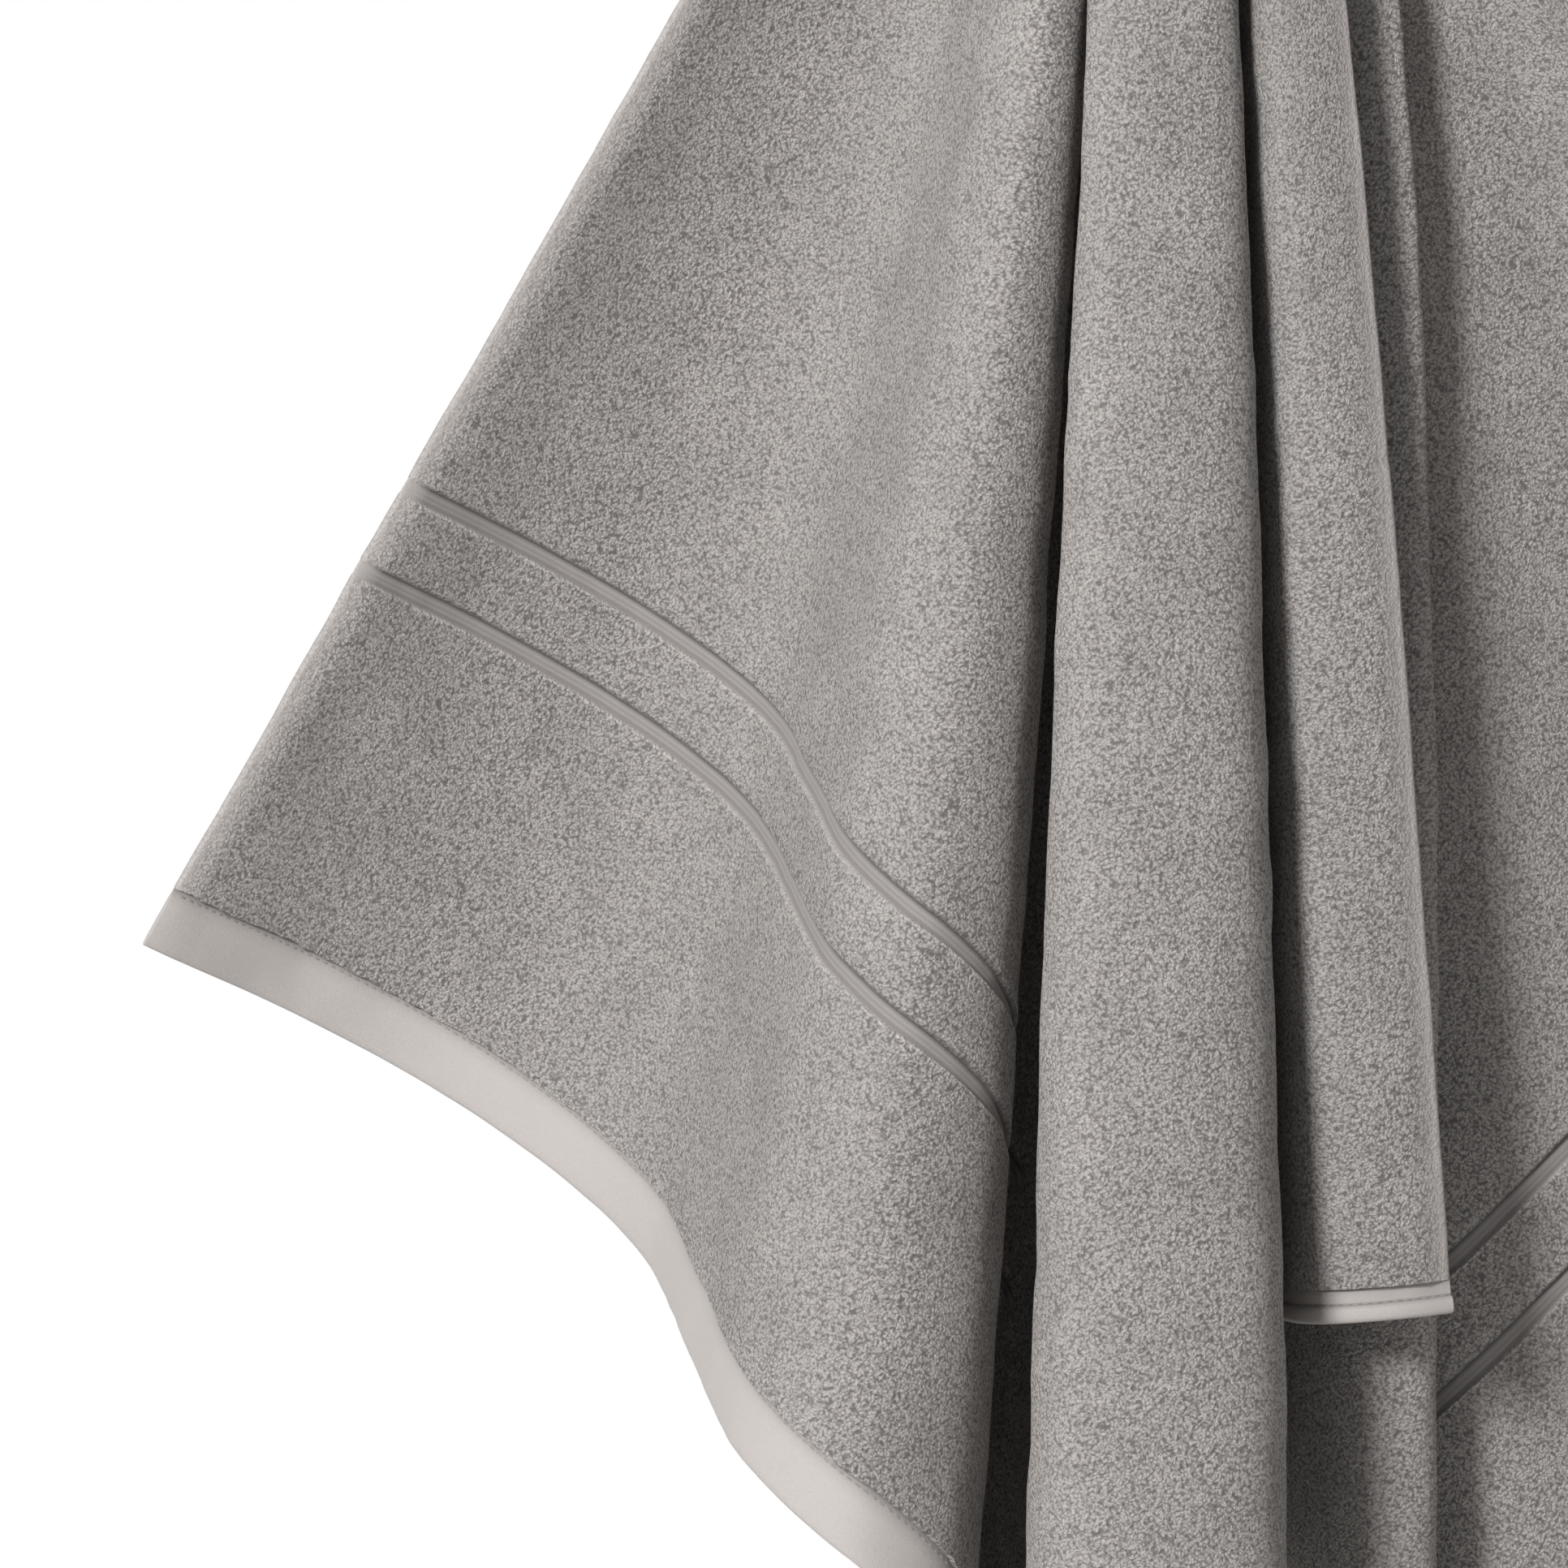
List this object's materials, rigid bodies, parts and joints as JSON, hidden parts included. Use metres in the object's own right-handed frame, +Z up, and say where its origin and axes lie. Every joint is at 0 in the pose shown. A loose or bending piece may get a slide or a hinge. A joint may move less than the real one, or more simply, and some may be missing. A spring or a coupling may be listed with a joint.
{
  "type": "bath towel set",
  "caption": "Terry bath towel and narrower hand towel hanging by their sewn loops from one hook point, with deep folds, woven bands and stitched hems.",
  "frame": {"origin": "the point on top of the hook where both hanging loops rest, on the inner top of the loops", "axes": "+Z up, the front of the set (the side with both towels in view) faces -Y, +X to the viewer's right"},
  "size_m": [0.7794, 0.2631, 1.1164],
  "materials": {
    "terry_pile": "looped cotton pile, matt, warm grey",
    "flat_woven_border": "flat woven cotton, matt, a little lighter than the pile",
    "sewing_thread": "twisted sewing thread, slight sheen",
    "loop_tape": "folded cotton twill tape, matt"
  },
  "bodies": {
    "bath_towel": {"bath_towel_centre_folds": "terry_pile", "left_corner_hem": "flat_woven_border", "right_corner_hem": "flat_woven_border", "lower_selvedge": "flat_woven_border", "bath_towel_gathered_top": "terry_pile", "bath_towel_loop": "loop_tape"},
    "left_wing": {"bath_towel_left_wing": "terry_pile", "left_wing_hem": "flat_woven_border", "left_wing_hem_thread": "sewing_thread", "upper_left_selvedge": "flat_woven_border"},
    "right_wing": {"bath_towel_right_wing": "terry_pile", "right_wing_hem": "flat_woven_border", "right_wing_hem_thread": "sewing_thread", "upper_right_selvedge": "flat_woven_border"},
    "hand_towel": {"hand_towel": "terry_pile", "hand_towel_selvedge": "flat_woven_border", "hand_towel_hem": "flat_woven_border", "hand_towel_hem_thread": "sewing_thread", "hand_towel_gathered_top": "terry_pile", "hand_towel_loop": "loop_tape"}
  },
  "joints": [
    {"name": "left_wing_swing", "type": "hinge", "parent": "bath_towel", "child": "left_wing", "pos_m": [0, 0, -0.028], "axis": [0.0898, 0.0171, 0.9958], "range_deg": [-8, 8], "stiffness_Nm_per_rad": 0.5},
    {"name": "right_wing_swing", "type": "hinge", "parent": "bath_towel", "child": "right_wing", "pos_m": [0, 0, -0.028], "axis": [0.1409, 0.0453, -0.989], "range_deg": [-8, 6], "stiffness_Nm_per_rad": 0.5},
    {"name": "hand_towel_lift", "type": "slide", "parent": "bath_towel", "child": "hand_towel", "axis": [-0.0767, 0.0048, 0.997], "range_m": [0, 0.012]}
  ]
}
